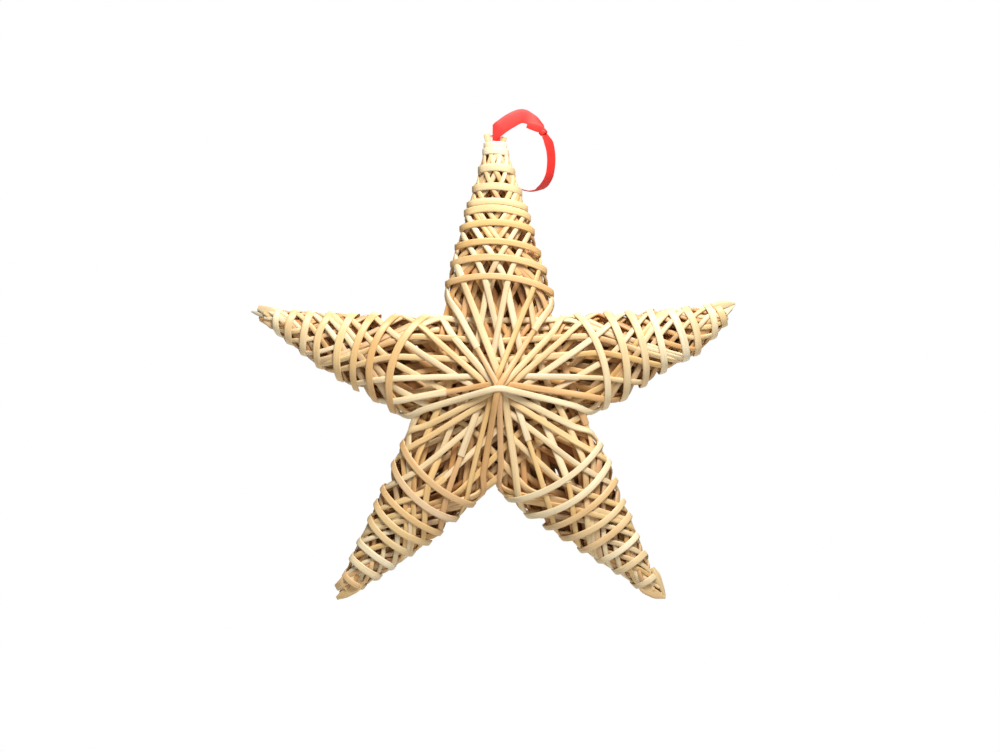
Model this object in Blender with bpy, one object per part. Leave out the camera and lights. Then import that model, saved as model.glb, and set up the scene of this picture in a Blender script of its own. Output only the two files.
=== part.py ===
"""Straw star: a five-pointed hanging ornament of wheat straw, with a ribbon.

Fifty long straws run from point to point along the five lines of a pentagram,
half of them as fans over the front and half as fans over the back. In each
point they wind around a flattened cone in two layers that cross. Five more
straws wind around the outside of the points, and a ribbon with an overhand
knot is tied through the top point.

Units are metres, +Z is up, the front faces -Y, and the origin is the eye at
the top point where the ribbon goes through.
"""
import math

import bpy
from mathutils import Vector

# ---------------------------------------------------------------- dimensions
MM = 0.001
NAME = "straw_star"

CENTRE = Vector((1.2 * MM, 0.0, -150.9 * MM))   # where the long straws cross
ARMS = (                                         # clockwise from the top:
    ("top", 90.7, 151.0 * MM),                   # name, direction, length
    ("right", 18.9, 157.0 * MM),
    ("lower_right", -51.6, 168.0 * MM),
    ("lower_left", -126.8, 165.0 * MM),
    ("left", 163.0, 159.0 * MM),
)
FAN_RADIUS = 64.0 * MM         # the cones of the points end this far out
TIP_RADIUS = 3.4 * MM          # of the bundle at each tip
HALF_WIDTH_SLOPE = 0.325       # growth of a cone's half width
HALF_DEPTH_SLOPE = 0.120       # and of its half depth

STRAW = 3.0 * MM               # straw width in the fans
STRAW_TIP = 1.1 * MM           # and squeezed together at the tips
TAPER_END = 45.0 * MM          # distance from the tip of the full width
GAP = 0.35 * MM                # air between two straws that touch
STRAWS_IN_FAN = 5
FIRST_ANGLE = math.radians(18.0)
STEP_ANGLE = math.radians(36.0)
TWIST = 1.15                   # how fast the straws wind around a cone
CONE_STEPS = 5                 # straight stretches of a straw in one cone
PASSING = (47.0 * MM, 32.0 * MM, 18.5 * MM, 8.6 * MM, 2.2 * MM)
#                              how far the straws of a fan pass the centre

TURNS = 8                      # of each winding straw
TURN_POINTS = 9
WINDING = 2.4 * MM             # its width
WINDING_BOW = 0.20             # its front and back arcs bow to the tip

RIBBON = 3.8 * MM              # thickness of the ribbon's solid
KNOT = (5.2 * MM, 3.6 * MM, 5.6 * MM)

FRONT = Vector((0.0, -1.0, 0.0))

# Order in which the five lines are laid, from the middle plane outwards.
# Line i runs from arm i clockwise to arm i + 2 and passes arm i + 1:
LINES = ((0, 2), (2, 4), (4, 1), (1, 3), (3, 0))
LAID_FRONT = (2, 3, 1, 4, 0)
LAID_BACK = (0, 4, 1, 3, 2)
OUTER_TURN = (1, 1, -1, 1, -1)  # which way the outer layer of an arm turns


# ---------------------------------------------------------------- the points
def half_width(s):
    return TIP_RADIUS + HALF_WIDTH_SLOPE * max(s, 0.0)


def half_depth(s):
    return TIP_RADIUS + HALF_DEPTH_SLOPE * max(s, 0.0)


def straw_width(s):
    share = min(max(s / TAPER_END, 0.0), 1.0)
    return STRAW_TIP + (STRAW - STRAW_TIP) * share


def layer_distance(s):
    """Distance between the two layers of straws in a cone."""
    sag = half_width(s) * 0.036
    return straw_width(s) + GAP + sag


class Arm:
    def __init__(self, name, direction, length):
        angle = math.radians(direction)
        self.name = name
        self.length = length
        self.axis = Vector((math.cos(angle), 0.0, math.sin(angle)))
        self.side = Vector((math.sin(angle), 0.0, -math.cos(angle)))
        self.tip = CENTRE + self.axis * length
        self.base = length - FAN_RADIUS
        self.full_twist = TWIST * math.log(half_width(self.base) / TIP_RADIUS)

    def point(self, s, phi, offset, grow=1.0):
        """A point on the cone, s from the tip, phi around it from the
        clockwise edge over the front, and offset along the outward normal."""
        wide = half_width(s) * grow
        deep = half_depth(s) * grow
        across = math.cos(phi) / wide
        out = math.sin(phi) / deep
        norm = math.hypot(across, out)
        u = wide * math.cos(phi) + offset * across / norm
        v = deep * math.sin(phi) + offset * out / norm
        return self.tip - self.axis * s + self.side * u + FRONT * v

    def straw(self, phi_base, turn, end):
        """The points of one straw from the base of the cone to its tip."""
        layer = 0.5 if turn == OUTER_TURN[ARM_LIST.index(self)] else -0.5
        points, widths = [], []
        for i in range(CONE_STEPS + 1):
            twist = self.full_twist * i / CONE_STEPS
            wide = half_width(self.base) * math.exp(-twist / TWIST)
            s = (wide - TIP_RADIUS) / HALF_WIDTH_SLOPE
            offset = layer * layer_distance(s)
            if i == CONE_STEPS:
                s = -end
            points.append(self.point(s, phi_base + turn * twist, offset))
            widths.append(straw_width(s))
        return points, widths


ARM_LIST = []
for arm_values in ARMS:
    ARM_LIST.append(Arm(*arm_values))


# ---------------------------------------------------------- the middle fans
def resample(points, step):
    """Stations along a plane path, at most a step apart, corners kept."""
    stations = [points[0]]
    for a, b in zip(points, points[1:]):
        count = max(1, math.ceil((b - a).length / step))
        for i in range(1, count + 1):
            stations.append(a.lerp(b, i / count))
    return stations


def distance_to_segment(p, a, b):
    ab = b - a
    t = max(0.0, min(1.0, (p - a).dot(ab) / ab.length_squared))
    return (p - a.lerp(b, t)).length, t


def height_needed(p, laid, clearance):
    """Height at which a straw clears every laid straw at the plan point p."""
    need = -1.0
    for path in laid:
        for a, b in zip(path, path[1:]):
            flat_a, flat_b = Vector((a.x, 0, a.z)), Vector((b.x, 0, b.z))
            away, t = distance_to_segment(p, flat_a, flat_b)
            if away < clearance:
                height = abs(a.y) + (abs(b.y) - abs(a.y)) * t
                need = max(need, height
                           + math.sqrt(clearance ** 2 - away ** 2))
    return need


def lay_over(start, middle, finish, laid, facing):
    """A taut straw from start over the laid straws to finish. It bends in
    plan at the middle point, and it rises just as far as it has to."""
    plan = [Vector((p.x, 0.0, p.z)) for p in (start, middle, finish)]
    stations = resample(plan, 1.5 * MM)
    clearance = STRAW + GAP + 0.4 * MM
    run, along = [0.0], 0.0
    for a, b in zip(stations, stations[1:]):
        along += (b - a).length
        run.append(along)
    heights = [height_needed(p, laid, clearance) for p in stations]
    heights[0], heights[-1] = abs(start.y), abs(finish.y)

    hull = []
    for i in range(len(stations)):
        while len(hull) > 1:
            a, b = hull[-2], hull[-1]
            turn = ((run[b] - run[a]) * (heights[i] - heights[a])
                    - (run[i] - run[a]) * (heights[b] - heights[a]))
            if turn < 0:
                break
            hull.pop()
        hull.append(i)
    bend = min(range(len(stations)),
               key=lambda i: (stations[i] - plan[1]).length)
    keep = sorted(set(hull) | {bend})
    points = []
    for i in keep:
        if i in hull:
            height = heights[i]
        else:
            after = next(j for j in hull if j > i)
            before = hull[hull.index(after) - 1]
            share = (run[i] - run[before]) / (run[after] - run[before])
            height = heights[before] + (heights[after]
                                        - heights[before]) * share
        points.append(stations[i] + Vector((0.0, -facing * height, 0.0)))
    return points


def fan_paths():
    """All the long straws: node name, points and widths."""
    straws = []
    for facing, face, order in ((1, "front", LAID_FRONT),
                                (-1, "back", LAID_BACK)):
        laid = []
        for line in order:
            first, last = ARM_LIST[LINES[line][0]], ARM_LIST[LINES[line][1]]
            beside = (first.axis + last.axis).normalized()
            new = []
            for k in range(STRAWS_IN_FAN):
                phi = FIRST_ANGLE + k * STEP_ANGLE
                end = (0.6 + 2.0 * ((0.37 * k + 0.23 * line) % 1.0)) * MM
                run_a, wide_a = first.straw(facing * phi, facing, end)
                run_c, wide_c = last.straw(facing * (math.pi - phi),
                                           -facing, end)
                middle = CENTRE + beside * PASSING[k]
                over = lay_over(run_a[0], middle, run_c[0], laid, facing)
                points = run_a[::-1] + over[1:-1] + run_c
                widths = (wide_a[::-1] + [STRAW] * (len(over) - 2) + wide_c)
                new.append(over)
                name = "straw_%s_to_%s_%s_%d" % (first.name, last.name,
                                                 face, k + 1)
                straws.append((name, points, widths))
            laid.extend(new)
    return straws


# ------------------------------------------------------------- the windings
def winding_path(arm):
    """One straw wound around a cone, from its base up to the tip."""
    points = []
    total = TURNS * TURN_POINTS
    grow = 1.0 / math.cos(math.pi / TURN_POINTS)
    s_last, s_first = arm.base - 3.0 * MM, 3.2 * MM
    for i in range(total + 1):
        phi = -math.pi / 2 + 2 * math.pi * i / TURN_POINTS
        s = s_last + (s_first - s_last) * i / total
        s -= WINDING_BOW * (half_width(s) - TIP_RADIUS) * math.sin(phi) ** 2
        offset = (0.5 * layer_distance(s) + 0.5 * straw_width(s)
                  + 2.5 * GAP + 0.5 * WINDING)
        points.append(arm.point(s, phi, offset * grow, grow))
    return points


# --------------------------------------------------------------- the ribbon
def smooth(route, count):
    """Evenly spaced points of a smooth curve through the route."""
    dense = []
    for i in range(len(route) - 1):
        p0 = route[max(i - 1, 0)]
        p1, p2 = route[i], route[i + 1]
        p3 = route[min(i + 2, len(route) - 1)]
        for j in range(20):
            t = j / 20.0
            dense.append(0.5 * ((2 * p1) + (p2 - p0) * t
                                + (2 * p0 - 5 * p1 + 4 * p2 - p3) * t * t
                                + (3 * p1 - p0 - 3 * p2 + p3) * t ** 3))
    dense.append(route[-1])
    run = [0.0]
    for a, b in zip(dense, dense[1:]):
        run.append(run[-1] + (b - a).length)
    points, j = [], 0
    for i in range(count):
        target = run[-1] * i / (count - 1)
        while j < len(run) - 2 and run[j + 1] < target:
            j += 1
        share = (target - run[j]) / (run[j + 1] - run[j])
        points.append(dense[j].lerp(dense[j + 1], min(share, 1.0)))
    return points


def at(x, y, z):
    return Vector((x * MM, y * MM, z * MM))


LOOP_RISE = (at(1.6, -3.0, 4.7), at(0.9, -2.6, 10.0), at(4.6, -2.0, 16.2),
             at(12.6, -1.0, 19.4), at(21.4, 0.0, 17.0), at(27.0, 0.0, 12.0))
LOOP_FALL = (at(32.4, 0.0, -0.4), at(35.4, 0.6, -8.0), at(35.9, 1.6, -16.5),
             at(33.4, 3.4, -23.8), at(27.4, 6.4, -28.8), at(20.0, 9.6, -29.8),
             at(13.6, 12.6, -26.6), at(8.4, 14.0, -19.4),
             at(4.4, 12.8, -10.6), at(2.2, 10.6, -3.4), at(1.0, 7.4, 2.6),
             at(0.0, 4.0, 4.6))
KNOT_PLACE = at(30.2, 0.0, 5.6)


# ------------------------------------------------------------------- making
def material(name, colour, roughness):
    made = bpy.data.materials.new(name)
    made.use_nodes = True
    shader = made.node_tree.nodes["Principled BSDF"]
    shader.inputs["Base Color"].default_value = (*colour, 1.0)
    shader.inputs["Roughness"].default_value = roughness
    shader.inputs["Metallic"].default_value = 0.0
    made.diffuse_color = (*colour, 1.0)
    return made


def tube(collection, name, points, width, resolution, look, widths=None):
    """A round solid along a path, as a curve with filled ends."""
    curve = bpy.data.curves.new(name, "CURVE")
    curve.dimensions = "3D"
    curve.bevel_depth = 0.5 * width
    curve.bevel_resolution = resolution
    curve.use_fill_caps = True
    spline = curve.splines.new("POLY")
    spline.points.add(len(points) - 1)
    for i, point in enumerate(points):
        spline.points[i].co = (*point, 1.0)
        if widths:
            spline.points[i].radius = widths[i] / width
    made = bpy.data.objects.new(name, curve)
    curve.materials.append(look)
    collection.objects.link(made)
    return made


def build():
    for old in list(bpy.data.objects):
        bpy.data.objects.remove(old, do_unlink=True)
    collection = bpy.data.collections.new(NAME)
    bpy.context.scene.collection.children.link(collection)

    for number, (name, points, widths) in enumerate(fan_paths()):
        shade = 0.04 * (number % 5)
        look = material(name, (0.86 - shade, 0.68 - shade, 0.40 - shade), 0.5)
        tube(collection, name, points, STRAW, 0, look, widths)

    for arm in ARM_LIST:
        name = "winding_straw_" + arm.name
        look = material(name, (0.90, 0.74, 0.46), 0.5)
        tube(collection, name, winding_path(arm), WINDING, 0, look)

    red = (0.80, 0.03, 0.02)
    tube(collection, "ribbon_rise", smooth(LOOP_RISE, 12), RIBBON, 2,
         material("ribbon_rise", red, 0.35))
    tube(collection, "ribbon_fall", smooth(LOOP_FALL, 26), RIBBON, 2,
         material("ribbon_fall", red, 0.35))
    bpy.ops.mesh.primitive_uv_sphere_add(segments=12, ring_count=8,
                                         radius=1.0, location=KNOT_PLACE)
    knot = bpy.context.object
    knot.name = knot.data.name = "ribbon_knot"
    for vertex in knot.data.vertices:
        vertex.co = Vector([c * r for c, r in zip(vertex.co, KNOT)])
    knot.data.shade_smooth()
    knot.data.materials.append(material("ribbon_knot", red, 0.35))
    for other in list(knot.users_collection):
        other.objects.unlink(knot)
    collection.objects.link(knot)


build()
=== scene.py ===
import math

import bpy
import numpy as np
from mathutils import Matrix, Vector


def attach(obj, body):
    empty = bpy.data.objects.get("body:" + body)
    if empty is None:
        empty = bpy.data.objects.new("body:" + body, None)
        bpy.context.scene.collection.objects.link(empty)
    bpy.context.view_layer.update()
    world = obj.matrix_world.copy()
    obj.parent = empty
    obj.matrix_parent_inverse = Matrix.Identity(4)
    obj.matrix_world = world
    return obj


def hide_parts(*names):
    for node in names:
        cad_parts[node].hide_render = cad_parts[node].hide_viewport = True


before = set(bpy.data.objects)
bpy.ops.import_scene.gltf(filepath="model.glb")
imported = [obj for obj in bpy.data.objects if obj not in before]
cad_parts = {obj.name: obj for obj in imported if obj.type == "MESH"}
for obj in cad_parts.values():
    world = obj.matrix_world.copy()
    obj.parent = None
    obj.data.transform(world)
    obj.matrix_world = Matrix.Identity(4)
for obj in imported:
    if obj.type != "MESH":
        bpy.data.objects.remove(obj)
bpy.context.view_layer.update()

# The straw star at its real size, in metres. The front faces -Y.
MM = 0.001
RNG = np.random.default_rng(11)

CENTRE = np.array([1.2, 0.0, -150.9]) * MM
PIXEL = 0.6186 * MM
ARMS = (("top", 90.7, 151.0), ("right", 18.9, 157.0),
        ("lower_right", -51.6, 168.0), ("lower_left", -126.8, 165.0),
        ("left", 163.0, 159.0))
LINES = ((0, 2), (2, 4), (4, 1), (1, 3), (3, 0))
TIE = {1: 0, 3: 1, 0: 2, 4: 3, 2: 4}        # which line lies on top of which
# per straw of a fan, the outermost first: angle on the cone's base, distance
# from the centre in passing and height over the middle plane, in mm.
# The first twelve lie inside, the last six are the ones on the surface.
BASE_ANGLE = (27.0, 55.0, 82.0, 108.0, 135.0, 163.0,
              34.0, 62.0, 88.0, 113.0, 139.0, 167.0,
              22.0, 54.0, 86.0, 114.0, 140.0, 167.0)
TOP_ANGLE = BASE_ANGLE[:12] + (28.0, 57.0, 82.0, 105.0, 131.0, 164.0)
PASSING = (39.0, 33.0, 26.0, 19.0, 12.5, 8.0,
           36.0, 33.0, 23.6, 20.8, 12.8, 9.8,
           42.0, 29.0, 18.0, 7.6, 3.2, 0.4)
RISE = (1.0, 1.8, 2.6, 3.4, 4.2, 5.0,
        6.8, 5.0, 10.8, 8.6, 14.0, 11.8,
        4.6, 9.6, 14.0, 17.0, 19.5, 21.0)
# the straws of the back pass between those of the front
BACK_ANGLE = (20.0, 48.0, 75.0, 102.0, 130.0, 157.0,
              25.0, 52.0, 80.0, 106.0, 133.0, 160.0,
              32.0, 61.0, 88.0, 115.0, 143.0, 168.0)
BACK_PASSING = (41.0, 35.0, 28.0, 21.0, 14.0, 9.0,
                39.0, 32.0, 24.0, 17.0, 11.0, 7.0,
                37.0, 26.5, 15.5, 8.6, 4.0, 0.9)
K = 18
LEVEL = ((0.84, 0.25), (0.92, 0.60), (1.0, 1.0))   # of width and of depth
MIDDLE = CENTRE + np.array([1.6, 0.0, -1.9]) * MM  # where the lines meet
STEP = 2.6                                   # mm between rings of a straw
STRAW_W, STRAW_T = 4.0, 1.9                  # mm, flattened wheat straw
# half width of each arm to the middle of its straws, at s mm from its tip
WIDTHS = {
    "top": ((-3, 0, 7.0, 13.0, 20.5, 31.6, 46.5, 57, 68.7, 79.9, 92.8, 101),
            (3.6, 4.2, 6.2, 8.2, 10.0, 13.9, 19.0, 21.9, 25.1, 28.5, 32.2, 34)),
    "right": ((-4, 0, 8, 15, 22, 33, 41, 55, 69, 83, 98, 120),
              (0.8, 1.3, 4.6, 7.6, 9.8, 14.0, 15.5, 18.6, 22.4, 27.0, 29.6, 34)),
    "lower_right": ((-4, 0, 15.8, 30.4, 42.6, 54.9, 66.5, 78.9, 91.8, 105, 120),
                    (1.0, 1.9, 6.2, 9.8, 13.7, 18, 21.4, 25.6, 30.2, 32.5, 35)),
    "lower_left": ((-4, 0, 13.8, 26.7, 36.9, 52, 63, 87.7, 101, 120),
                   (1.2, 2.2, 5.6, 9.8, 12.6, 16.5, 20, 25.5, 28.5, 32)),
    "left": ((-4, 0, 10, 21, 36, 51, 70, 91, 106, 120),
             (0.8, 1.3, 3.6, 6.4, 11.4, 16.4, 21.6, 26.7, 31, 34.5)),
}
# how far each arm bows to its clockwise side, mm at s mm from its tip
BOW = {
    "top": ((-3, 0, 20, 60, 95, 101), (0.8, 1.1, 1.8, 1.4, 2.0, 2.2)),
    "right": ((-4, 0, 8, 15, 22, 33, 41, 55, 69, 83, 98, 115),
              (0, 0.8, 3.2, 4.8, 5.8, 7.2, 6.9, 5.9, 6.0, 5.8, 4.8, 4.2)),
    "lower_right": ((-4, 0, 16, 43, 66, 92, 105, 120),
                    (0, 0.5, 2.2, 3.2, 3.8, 3.9, 4.3, 4.2)),
    "lower_left": ((-4, 0, 14, 37, 52, 63, 88, 101, 115),
                   (0, -0.4, -2.0, -3.4, -4.2, -4.8, -4.6, -4.6, -4.2)),
    "left": ((-4, 0, 21, 51, 91, 107, 120),
             (0, -0.2, -1.7, -3.9, -3.5, -3.4, -3.0)),
}
# lean of the straws to the arm's axis, degrees, at s mm from its tip
LEAN = ((-4, 0, 12, 30, 52, 80, 115), (3, 5, 14, 29, 37, 37, 32))
FRONT = np.array([0.0, -1.0, 0.0])


# ------------------------------------------------------------ camera, lights
def look_at(obj, target):
    d = Vector(target) - obj.location
    obj.rotation_euler = d.to_track_quat("-Z", "Y").to_euler()


def make_camera():
    data = bpy.data.cameras.new("camera")
    cam = bpy.data.objects.new("camera", data)
    bpy.context.scene.collection.objects.link(cam)
    distance = 2.0
    x = CENTRE[0] + (500 - 496) * PIXEL
    z = CENTRE[2] + (385 - 376) * PIXEL
    cam.location = (x, -distance, z)
    cam.rotation_euler = (math.pi / 2, 0, 0)
    data.sensor_width = 36.0
    data.lens = 36.0 * (distance - 0.008) / (1000 * PIXEL)
    data.clip_end = 50
    bpy.context.scene.camera = cam


def area(name, place, target, size, energy, colour):
    data = bpy.data.lights.new(name, "AREA")
    data.shape = "DISK"
    data.size = size
    data.energy = energy
    data.color = colour
    lamp = bpy.data.objects.new(name, data)
    bpy.context.scene.collection.objects.link(lamp)
    lamp.location = place
    look_at(lamp, target)


def make_stage():
    world = bpy.data.worlds.new("studio")
    bpy.context.scene.world = world
    world.use_nodes = True
    nodes, links = world.node_tree.nodes, world.node_tree.links
    nodes.clear()
    out = nodes.new("ShaderNodeOutputWorld")
    seen = nodes.new("ShaderNodeBackground")
    seen.inputs["Color"].default_value = (1, 1, 1, 1)
    seen.inputs["Strength"].default_value = 1.0
    lit = nodes.new("ShaderNodeBackground")
    lit.inputs["Color"].default_value = (1.0, 0.98, 0.95, 1)
    lit.inputs["Strength"].default_value = 0.15
    path = nodes.new("ShaderNodeLightPath")
    mix = nodes.new("ShaderNodeMixShader")
    links.new(path.outputs["Is Camera Ray"], mix.inputs[0])
    links.new(lit.outputs[0], mix.inputs[1])
    links.new(seen.outputs[0], mix.inputs[2])
    links.new(mix.outputs[0], out.inputs[0])

    mid = (0.0, 0.0, -0.15)
    area("key", (0.10, -0.42, 0.42), mid, 0.30, 7.75, (1.0, 0.98, 0.95))
    area("fill", (0.7, -1.3, 0.6), mid, 1.0, 4, (1.0, 0.98, 0.96))
    area("rim", (0.4, 1.4, 0.9), mid, 1.0, 15, (1.0, 0.98, 0.96))

    floor = bpy.data.meshes.new("floor")
    n = 96
    verts = [(1.5 * math.cos(2 * math.pi * i / n),
              1.5 * math.sin(2 * math.pi * i / n), -0.80) for i in range(n)]
    floor.from_pydata(verts, [], [list(range(n))])
    obj = bpy.data.objects.new("floor", floor)
    bpy.context.scene.collection.objects.link(obj)
    look = bpy.data.materials.new("floor")
    look.use_nodes = True
    tree = look.node_tree
    shader = tree.nodes["Principled BSDF"]
    shader.inputs["Roughness"].default_value = 0.8
    shader.inputs["Emission Color"].default_value = (1, 0.99, 0.97, 1)
    shader.inputs["Emission Strength"].default_value = 0.28
    noise = tree.nodes.new("ShaderNodeTexNoise")
    noise.inputs["Scale"].default_value = 9.0
    ramp = tree.nodes.new("ShaderNodeValToRGB")
    ramp.color_ramp.elements[0].color = (0.88, 0.88, 0.87, 1)
    ramp.color_ramp.elements[1].color = (0.93, 0.93, 0.92, 1)
    tree.links.new(noise.outputs["Fac"], ramp.inputs["Fac"])
    tree.links.new(ramp.outputs["Color"], shader.inputs["Base Color"])
    floor.materials.append(look)
    bpy.context.scene.view_settings.view_transform = "Standard"
    bpy.context.scene.view_settings.look = "None"


# ------------------------------------------------------------------ materials
def straw_material(name, strength=1.0):
    made = bpy.data.materials.new(name)
    made.use_nodes = True
    tree = made.node_tree
    nodes, links = tree.nodes, tree.links
    shader = nodes["Principled BSDF"]
    shader.inputs["Specular IOR Level"].default_value = 0.45
    shader.inputs["Coat Weight"].default_value = 0.10
    shader.inputs["Coat Roughness"].default_value = 0.3

    tint = nodes.new("ShaderNodeAttribute")
    tint.attribute_name = "tint"
    fibre = nodes.new("ShaderNodeAttribute")
    fibre.attribute_name = "fibre"

    def noise(scale, size, detail, seed):
        mapping = nodes.new("ShaderNodeMapping")
        mapping.inputs["Scale"].default_value = scale
        mapping.inputs["Location"].default_value = (seed, seed * 0.37, 0)
        links.new(fibre.outputs["Vector"], mapping.inputs["Vector"])
        made_noise = nodes.new("ShaderNodeTexNoise")
        made_noise.inputs["Scale"].default_value = size
        made_noise.inputs["Detail"].default_value = detail
        made_noise.inputs["Roughness"].default_value = 0.6
        links.new(mapping.outputs["Vector"], made_noise.inputs["Vector"])
        return made_noise.outputs["Fac"]

    def ramp(value, low, high, colour_low, colour_high):
        made_ramp = nodes.new("ShaderNodeValToRGB")
        made_ramp.color_ramp.elements[0].position = low
        made_ramp.color_ramp.elements[1].position = high
        made_ramp.color_ramp.elements[0].color = (*colour_low, 1)
        made_ramp.color_ramp.elements[1].color = (*colour_high, 1)
        links.new(value, made_ramp.inputs["Fac"])
        return made_ramp.outputs["Color"]

    def multiply(a, b, amount=1.0):
        mix = nodes.new("ShaderNodeMix")
        mix.data_type = "RGBA"
        mix.blend_type = "MULTIPLY"
        mix.inputs["Factor"].default_value = amount
        links.new(a, mix.inputs["A"])
        links.new(b, mix.inputs["B"])
        return mix.outputs["Result"]

    # fine fibres that run the length of the straw
    fine = noise((0.035, 5.0, 5.0), 1.0, 3.0, 1.0)
    fibres = ramp(fine, 0.30, 0.72, (0.80, 0.73, 0.62), (1.06, 1.06, 1.05))
    # slow changes of colour along it, as one side or one end ripened more
    slow = noise((0.022, 0.5, 0.5), 1.0, 2.0, 7.0)
    ripe = ramp(slow, 0.32, 0.70, (0.92, 0.80, 0.62), (1.05, 1.04, 1.03))
    # a few small brown specks and short scratches
    speck = noise((0.5, 2.6, 2.6), 1.0, 2.0, 19.0)
    specks = ramp(speck, 0.24, 0.33, (0.55, 0.38, 0.24), (1.0, 1.0, 1.0))
    colour = multiply(tint.outputs["Color"], fibres, 0.85 * strength)
    colour = multiply(colour, ripe, 0.8)
    colour = multiply(colour, specks, 0.7)
    links.new(colour, shader.inputs["Base Color"])

    rough = nodes.new("ShaderNodeMapRange")
    rough.inputs["To Min"].default_value = 0.34
    rough.inputs["To Max"].default_value = 0.56
    links.new(fine, rough.inputs["Value"])
    links.new(rough.outputs["Result"], shader.inputs["Roughness"])
    bump = nodes.new("ShaderNodeBump")
    bump.inputs["Strength"].default_value = 0.35
    bump.inputs["Distance"].default_value = 0.0003
    links.new(fine, bump.inputs["Height"])
    links.new(bump.outputs["Normal"], shader.inputs["Normal"])
    return made


def satin_material(name):
    made = bpy.data.materials.new(name)
    made.use_nodes = True
    tree = made.node_tree
    nodes, links = tree.nodes, tree.links
    shader = nodes["Principled BSDF"]
    shader.inputs["Specular IOR Level"].default_value = 0.35
    shader.inputs["Sheen Weight"].default_value = 0.06
    shader.inputs["Sheen Roughness"].default_value = 0.4
    fibre = nodes.new("ShaderNodeAttribute")
    fibre.attribute_name = "fibre"
    mapping = nodes.new("ShaderNodeMapping")
    mapping.inputs["Scale"].default_value = (0.25, 22.0, 1.0)
    links.new(fibre.outputs["Vector"], mapping.inputs["Vector"])
    warp = nodes.new("ShaderNodeTexNoise")
    warp.inputs["Scale"].default_value = 1.0
    warp.inputs["Detail"].default_value = 3.0
    links.new(mapping.outputs["Vector"], warp.inputs["Vector"])
    wave = nodes.new("ShaderNodeTexWave")
    wave.wave_type = "BANDS"
    wave.bands_direction = "X"
    wave.inputs["Scale"].default_value = 1.1
    wave.inputs["Distortion"].default_value = 0.6
    links.new(fibre.outputs["Vector"], wave.inputs["Vector"])
    ramp = nodes.new("ShaderNodeValToRGB")
    ramp.color_ramp.elements[0].position = 0.3
    ramp.color_ramp.elements[1].position = 0.75
    ramp.color_ramp.elements[0].color = (0.82, 0.020, 0.014, 1)
    ramp.color_ramp.elements[1].color = (0.97, 0.050, 0.040, 1)
    links.new(warp.outputs["Fac"], ramp.inputs["Fac"])
    links.new(ramp.outputs["Color"], shader.inputs["Base Color"])
    rough = nodes.new("ShaderNodeMapRange")
    rough.inputs["To Min"].default_value = 0.38
    rough.inputs["To Max"].default_value = 0.52
    links.new(warp.outputs["Fac"], rough.inputs["Value"])
    links.new(rough.outputs["Result"], shader.inputs["Roughness"])
    bump = nodes.new("ShaderNodeBump")
    bump.inputs["Strength"].default_value = 0.25
    bump.inputs["Distance"].default_value = 0.0001
    links.new(wave.outputs["Fac"], bump.inputs["Height"])
    links.new(bump.outputs["Normal"], shader.inputs["Normal"])
    return made


# ------------------------------------------------------------------- the star
class Arm:
    def __init__(self, index):
        name, direction, length = ARMS[index]
        a = math.radians(direction)
        self.index = index
        self.name = name
        self.length = length * MM
        self.axis = np.array([math.cos(a), 0.0, math.sin(a)])
        self.side = np.array([math.sin(a), 0.0, -math.cos(a)])
        self.tip = CENTRE + self.axis * self.length

    def base(self, phi):
        """Where the cone begins: under its last wound turn."""
        first, middle, second = WINDINGS[self.name][-1]
        edge = second if math.cos(phi) > 0 else first
        edge += 5.5 * abs(math.cos(phi))
        return middle + (edge - middle) * abs(math.cos(phi)) ** 1.6

    def half_width(self, s):
        return np.interp(s, *WIDTHS[self.name])

    def half_depth(self, s):
        s = np.asarray(s, float)
        if self.index == 0:
            return 3.6 + 0.118 * np.maximum(s, -3.0)
        return np.minimum(3.2 + 0.118 * s, 0.8 + 0.27 * (s + 2.0)).clip(0.7)

    def place(self, s, phi, level=2):
        """Points and unit normals on the cone, s in mm from the tip."""
        w, t = self.half_width(s) * MM, self.half_depth(s) * MM
        w, t = w * LEVEL[level][0], t * LEVEL[level][1]
        u, v = w * np.cos(phi), t * np.sin(phi)
        nu, nv = np.cos(phi) / w, np.sin(phi) / t
        size = np.hypot(nu, nv)
        nu, nv = nu / size, nv / size
        s = np.asarray(s, float)
        u = u + np.interp(s, *BOW[self.name]) * MM
        point = (self.tip - self.axis * (s * MM)[:, None]
                 + self.side * u[:, None] + FRONT * v[:, None])
        normal = (self.side * nu[:, None] + FRONT * nv[:, None]
                  + self.axis * 0.12)
        normal /= np.linalg.norm(normal, axis=1)[:, None]
        return point, normal


# for each arm, from the tip to the base: mm from the tip of the first edge
# (counterclockwise side), of the middle and of the second edge
WINDINGS = {}


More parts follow.
